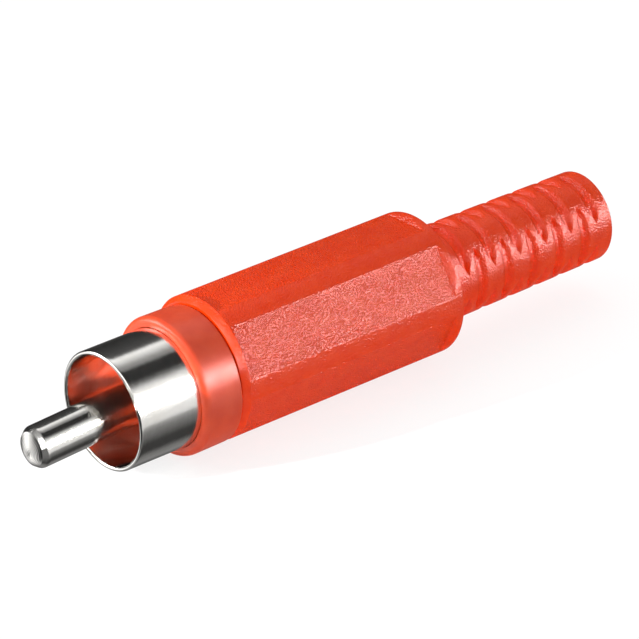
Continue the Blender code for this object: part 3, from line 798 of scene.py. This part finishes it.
class PLUG_OT_sleeve(bpy.types.Operator):
    """Build the sleeve: grained grip with six flats, threaded bore and slotted boot"""

    bl_idname = "plug.sleeve"
    bl_label = "Sleeve"

    def execute(self, context):
        sizes = context.scene.plug_mouldings
        shape = Moulding(context.scene)
        bm = turned(self.section(sizes, shape), SLEEVE_STEPS)
        flat_edges = self.press_flats(bm, sizes, shape)
        bevel_edges(bm, flat_edges, sizes.edge_round, 2)
        cut_thread(bm, GRIP_FRONT + THREAD_LEAD, shape.bore_rear - THREAD_END, shape.bore_r,
                   sizes.thread_pitch, -sizes.thread_depth)
        self.sink_slots(bm, sizes, shape)
        sleeve = add_piece("sleeve_moulding", bm, SLEEVE_AXIS)
        finishes = context.scene.plug_finishes
        grained = red_moulding("sleeve_red", finishes, (finishes.red, finishes.red_pale),
                               finishes.sleeve_gloss, finishes.sleeve_shine, finishes.grain_height)
        finish_piece(sleeve, "sleeve_body", "sleeve", grained)
        return {"FINISHED"}

    def section(self, sizes, shape):
        """The sleeve's closed section, from the front of its bore round the outside and back."""
        front, rear = GRIP_FRONT, shape.grip_rear
        flat_start, flat_end = front + sizes.flat_front, rear - sizes.flat_rear
        rear_round, boot_round, lead = sizes.rear_round, sizes.boot_round, sizes.hole_lead
        ease = 0.08 * MM
        section = [(front, shape.bore_r), (front, shape.grip_r - sizes.cone_step - ease),
                   (front + ease, shape.grip_r - sizes.cone_step)]
        outside = evenly(front + sizes.cone, flat_start - sizes.flat_front_ramp, MM)
        outside += evenly(flat_start - sizes.flat_front_ramp, flat_start, sizes.flat_front_ramp / 3)[1:]
        outside += evenly(flat_start, flat_end, FLAT_ROW)[1:]
        outside += evenly(flat_end, flat_end + sizes.flat_rear_ramp, sizes.flat_rear_ramp / 4)[1:]
        section += [(station, shape.grip_r) for station in outside]
        section += arc(rear - rear_round, shape.grip_r - rear_round, rear_round, 90, 0, EDGE_STEPS)
        section += [(rear, shape.grip_r - MM), (rear, sizes.boot_root_r)]
        boot = self.slot_stations(sizes, shape)
        section += [(station, self.boot_radius(sizes, shape, station)) for station in boot]
        section += arc(BOOT_END - boot_round, sizes.boot_end_r - boot_round, boot_round, 90, 0, EDGE_STEPS)
        section += [(BOOT_END, sizes.hole_r + lead), (BOOT_END - lead, sizes.hole_r)]
        section += straight(boot[-1], boot[0], MM, sizes.hole_r)
        section += [(shape.cavity_rear + sizes.cavity_cone, sizes.hole_r),
                    (shape.cavity_rear, shape.cavity_r), (shape.bore_rear, shape.cavity_r)]
        section += straight(shape.bore_rear, GRIP_FRONT, sizes.thread_pitch / 10, shape.bore_r)[:-1]
        return section

    @staticmethod
    def slot_stations(sizes, shape):
        """Rows of the boot's outside, close together across every ring of slots."""
        mouth = sizes.slot_width / 2 + sizes.slot_flare
        across = evenly(-mouth, mouth, mouth / 7)
        middles = [shape.grip_rear + sizes.first_slot + shape.slot_pitch * i for i in range(sizes.rings)]
        return [middle + offset for middle in middles for offset in across]

    @staticmethod
    def boot_radius(sizes, shape, station):
        share = (station - shape.grip_rear) / (BOOT_END - shape.grip_rear)
        return sizes.boot_root_r + (sizes.boot_end_r - sizes.boot_root_r) * share

    @staticmethod
    def press_flats(bm, sizes, shape):
        """Presses the flats and their end ramps in, and returns the edges round each flat."""
        share = FULL_TURN / sizes.flats
        flat_end_turn = math.acos(shape.flat_r / shape.grip_r)
        start = GRIP_FRONT + sizes.flat_front
        end = shape.grip_rear - sizes.flat_rear
        limit = shape.grip_r - 0.001 * MM
        grain = bm.verts.layers.float.new("grain")
        rim = []
        for vert in bm.verts:
            station = vert.co.x
            if radius_of(vert.co) < limit or not GRIP_FRONT < station < shape.grip_rear:
                continue
            vert[grain] = SKIN_GRAIN
            turn = turn_of(vert.co)
            off = nearest_turn(turn, share)
            on_flat = start - MERGE < station < end + MERGE
            if on_flat and abs(abs(off) - flat_end_turn) < RIM_NEAR:
                turn += math.copysign(flat_end_turn, off) - off
                place_at(vert, turn, shape.grip_r)
                vert[grain] = RIM_GRAIN
                rim.append(vert)
                continue
            ahead = max(0.0, start - station) / sizes.flat_front_ramp
            behind = max(0.0, station - end) / sizes.flat_rear_ramp
            plane = shape.flat_r + (shape.grip_r - shape.flat_r) * (ahead + behind)
            place_at(vert, turn, min(shape.grip_r, plane / math.cos(off)))
            if on_flat and abs(off) < flat_end_turn:
                vert[grain] = 1.0
            at_end = min(abs(station - start), abs(station - end)) < MERGE
            if at_end and abs(off) < flat_end_turn:
                rim.append(vert)
        rim = set(rim)
        return [edge for edge in bm.edges
                if set(edge.verts) <= rim and PLUG_OT_sleeve.is_flat_rim(edge, share)]

    @staticmethod
    def is_flat_rim(edge, share):
        """True for an edge along a flat's side, or across its end within one flat."""
        first, second = edge.verts
        along = abs(first.co.x - second.co.x) > MERGE
        turns = [nearest_turn(turn_of(vert.co), share) for vert in (first, second)]
        across = abs(turns[0] - turns[1]) < SAME_FLAT
        return along or across

    @staticmethod
    def sink_slots(bm, sizes, shape):
        """Sinks the boot's blind slots, soft at the edges, which narrow and run out at both ends."""
        share = FULL_TURN / sizes.slots
        reach = (share - sizes.bridge) / 2
        mouth = sizes.slot_width / 2 + sizes.slot_flare
        grain = bm.verts.layers.float["grain"]
        for vert in bm.verts:
            radius, turn = radius_of(vert.co), turn_of(vert.co)
            if vert.co.x > shape.grip_rear:
                vert[grain] = BOOT_GRAIN
            along = vert.co.x - shape.grip_rear - sizes.first_slot
            ring = round(along / shape.slot_pitch)
            if radius < sizes.hole_r + 0.5 * MM or not 0 <= ring < sizes.rings:
                continue
            first = sizes.first_bridge + share * (0.5 + 0.5 * (ring % 2))
            off = nearest_turn(turn - first, share)
            run_out = radius * (1 - math.cos(reach) / math.cos(off))
            depth = max(0.0, min(sizes.slot_depth, run_out))
            to_end = radius * (reach - abs(off))
            width = mouth * (SLOT_END + (1 - SLOT_END) * smooth_ramp(to_end, 0.0, sizes.slot_taper))
            beside = abs(along - ring * shape.slot_pitch)
            place_at(vert, turn, radius - depth * smooth_ramp(width - beside, 0.0, SLOT_SIDE * width))


class PLUG_OT_studio(bpy.types.Operator):
    """Set the floor, the light panels, the room light and the camera"""

    bl_idname = "plug.studio"
    bl_label = "Studio"

    # For each panel of light: the setting of its strength, its brightness round the plug's axis in
    # degrees from the camera's side up over the top, and along the axis in metres from the middle
    PANELS = (
        ("surround", (
            (-180, 0.02), (-165, 0.05), (-150, 0.09), (-125, 0.1), (-112, 0.21), (-94, 0.16),
            (-86, 0.08), (-80, 0.035), (-62, 0.04), (-50, 0.11), (-36, 0.19), (-28, 0.32), (-23, 0.72),
            (-9, 0.80), (0, 0.95), (34, 1.0), (44, 0.68), (54, 0.13), (62, 0.02), (83, 0.02),
            (88, 0.22), (95, 0.31), (101, 0.55), (108, 0.80), (114, 0.98), (117, 0.8), (121, 0.12),
            (127, 0.05), (150, 0.03), (170, 0.02),
        ), ((-0.26, 0.0), (-0.1, 1.0))),
        ("key", ((3, 0.0), (8, 1.0), (26, 1.0), (31, 0.0)),
         ((-0.66, 0.0), (-0.56, 1.0), (-0.52, 1.0), (-0.44, 0.01), (-0.29, 0.01), (-0.23, 1.0))),
        ("ahead", ((0, 0.0), (25, 0.3), (60, 0.8), (110, 1.0), (160, 1.0), (172, 0.0)),
         ((-0.68, 0.02), (-0.6, 1.0), (-0.5, 1.0), (-0.43, 0.04), (-0.15, 0.0))),
        ("above_ahead", ((134, 0.0), (142, 1.0), (166, 1.0), (176, 0.0)),
         ((-0.6, 0.0), (-0.5, 1.0), (-0.28, 1.0), (-0.2, 0.0))),
        ("ahead_low", ((-180, 1.0), (-155, 1.0), (-125, 0.35), (-60, 0.12), (165, 0.12), (180, 1.0)),
         ((-0.7, 0.05), (-0.5, 0.4), (-0.4, 1.0), (-0.3, 1.0), (-0.12, 0.0))),
    )

    def execute(self, context):
        studio = context.scene.plug_studio
        self.floor()
        self.panels(studio)
        self.lamp(context.scene, studio)
        self.room(context.scene, studio)
        self.camera(context.scene, studio)
        context.scene.view_settings.view_transform = "Standard"
        return {"FINISHED"}

    @staticmethod
    def floor():
        """A white floor that shows the plug's shadow softly and throws light up at it."""
        finish = Finish("floor_white", {
            "Base Color": (0.9, 0.9, 0.9, 1.0), "Roughness": 1.0, "Specular IOR Level": 0.0,
        })
        seen = finish.rays("Camera")
        strength = finish.spread(seen, 0.0, 1.0, *FLOOR_GLOW)
        share = finish.spread(seen, 0.0, 1.0, *FLOOR_GLOW_SHARE)
        glow = finish.add("Emission", {"Strength": strength})["Emission"]
        finish.cover(finish.mix(share, finish.tree.nodes["Principled BSDF"].outputs["BSDF"], glow))
        bm = bmesh.new()
        bmesh.ops.create_grid(bm, x_segments=1, y_segments=1, size=TENT_REACH)
        floor = add_object("floor", bm, finish.material)
        floor.location.z = -0.02 * MM
        floor.visible_glossy = False
        floor.visible_shadow = False

    def panels(self, studio):
        """A round tent of light that only reflections see, with a dark and a bright side."""
        finish = Finish("light_panels", {})
        axes = finish.axes("Object")
        turn = finish.combine("ARCTAN2", axes["Z"], finish.combine("MULTIPLY", axes["Y"], -1.0))
        share = finish.spread(turn, -math.pi, math.pi)
        along = finish.spread(axes["X"], -TENT_REACH, TENT_REACH)
        total = None
        for name, around, lengthwise in self.PANELS:
            panel = finish.combine("MULTIPLY", finish.ramp(share, around, 360.0),
                                   finish.ramp(along, lengthwise, 2 * TENT_REACH))
            panel = finish.combine("MULTIPLY", panel, getattr(studio, name))
            total = finish.combine("ADD", total, panel) if total else panel
        finish.cover(finish.add("Emission", {"Strength": total})["Emission"])
        bm = bmesh.new()
        bmesh.ops.create_cone(bm, cap_ends=True, segments=72, radius1=TENT_R, radius2=TENT_R,
                              depth=2 * TENT_REACH, matrix=Matrix.Rotation(math.pi / 2, 4, "Y"))
        tent = add_object("light_tent", bm, finish.material)
        tent.location.z = CARRIER_AXIS
        tent.visible_camera = False
        tent.visible_diffuse = False
        tent.visible_transmission = False
        tent.visible_shadow = False

    @staticmethod
    def lamp(scene, studio):
        """A narrow lamp ahead of the plug that shines into the outer contact."""
        light = bpy.data.lights.new("lamp_ahead", "SPOT")
        light.shadow_soft_size = LAMP_R
        light.spot_size = LAMP_CONE
        light.spot_blend = 0.5
        light.energy = studio.lamp
        lamp = bpy.data.objects.new("lamp_ahead", light)
        scene.collection.objects.link(lamp)
        target = Vector((RIM_X, 0.0, CARRIER_AXIS))
        lamp.location = target + Vector(LAMP_PLACE)
        lamp.rotation_euler = (target - lamp.location).to_track_quat("-Z", "Y").to_euler()
        lamp.visible_glossy = False

    @staticmethod
    def room(scene, studio):
        """White behind the plug, and a soft light on it that comes mostly from behind."""
        world = bpy.data.worlds.new("studio_room")
        world.use_nodes = True
        scene.world = world
        room = Nodes(world.node_tree)
        white = room.tree.nodes["Background"]
        room.fill(white, {"Color": (1.0, 1.0, 1.0, 1.0), "Strength": 1.0})
        behind = room.spread(room.axes("Generated")["Y"], -1.0, 0.5, studio.fill_front, studio.fill)
        soft = room.add("Background", {"Strength": behind})["Background"]
        seen = room.combine("MAXIMUM", room.rays("Camera"), room.rays("Transmission"))
        shown = room.mix(seen, soft, white.outputs["Background"])
        room.fill(room.tree.nodes["World Output"], {"Surface": shown})

    @staticmethod
    def camera(scene, studio):
        turn, rise, roll = studio.azimuth, studio.elevation, studio.roll
        back = Vector((math.sin(turn) * math.cos(rise), -math.cos(turn) * math.cos(rise), math.sin(rise)))
        flat = Vector((math.cos(turn), math.sin(turn), 0.0))
        up = back.cross(flat)
        right = flat * math.cos(roll) + up * math.sin(roll)
        top = up * math.cos(roll) - flat * math.sin(roll)
        data = bpy.data.cameras.new("camera")
        data.lens = studio.lens
        data.sensor_width = 36.0
        data.clip_start = 0.01
        data.clip_end = 10.0
        made = bpy.data.objects.new("camera", data)
        scene.collection.objects.link(made)
        target = Vector((RIM_X + studio.target, 0.0, studio.target_height))
        turned_axes = Matrix((right, top, back)).transposed().to_4x4()
        made.matrix_world = Matrix.Translation(target + back * studio.distance) @ turned_axes
        scene.camera = made


class PLUG_PT_panel(bpy.types.Panel):
    """Lists the plug's pieces in the sidebar"""

    bl_idname = "PLUG_PT_panel"
    bl_label = "Phono plug"
    bl_space_type = "VIEW_3D"
    bl_region_type = "UI"
    bl_category = "Phono plug"

    def draw(self, context):
        layout = self.layout
        for operator in OPERATORS:
            layout.operator(operator.bl_idname)
        for name in SETTINGS:
            group = getattr(context.scene, name)
            box = layout.box()
            for prop in group.bl_rna.properties:
                if not prop.is_readonly and prop.identifier != "name":
                    box.prop(group, prop.identifier)


SETTINGS = {
    "plug_contacts": PlugContactSizes,
    "plug_mouldings": PlugMouldingSizes,
    "plug_finishes": PlugFinishes,
    "plug_studio": PlugStudio,
}
OPERATORS = (PLUG_OT_centre_pin, PLUG_OT_outer_contact, PLUG_OT_contact_carrier,
             PLUG_OT_ground_lug, PLUG_OT_sleeve, PLUG_OT_studio)


def register():
    for group in SETTINGS.values():
        bpy.utils.register_class(group)
    for operator in OPERATORS:
        bpy.utils.register_class(operator)
    bpy.utils.register_class(PLUG_PT_panel)
    for name, group in SETTINGS.items():
        setattr(bpy.types.Scene, name, bpy.props.PointerProperty(type=group))


def unregister():
    for name in SETTINGS:
        delattr(bpy.types.Scene, name)
    bpy.utils.unregister_class(PLUG_PT_panel)
    for operator in reversed(OPERATORS):
        bpy.utils.unregister_class(operator)
    for group in reversed(SETTINGS.values()):
        bpy.utils.unregister_class(group)


def main():
    register()
    bpy.ops.plug.centre_pin()
    bpy.ops.plug.outer_contact()
    bpy.ops.plug.contact_carrier()
    bpy.ops.plug.ground_lug()
    bpy.ops.plug.sleeve()
    bpy.ops.plug.studio()


if __name__ == "__main__":
    main()
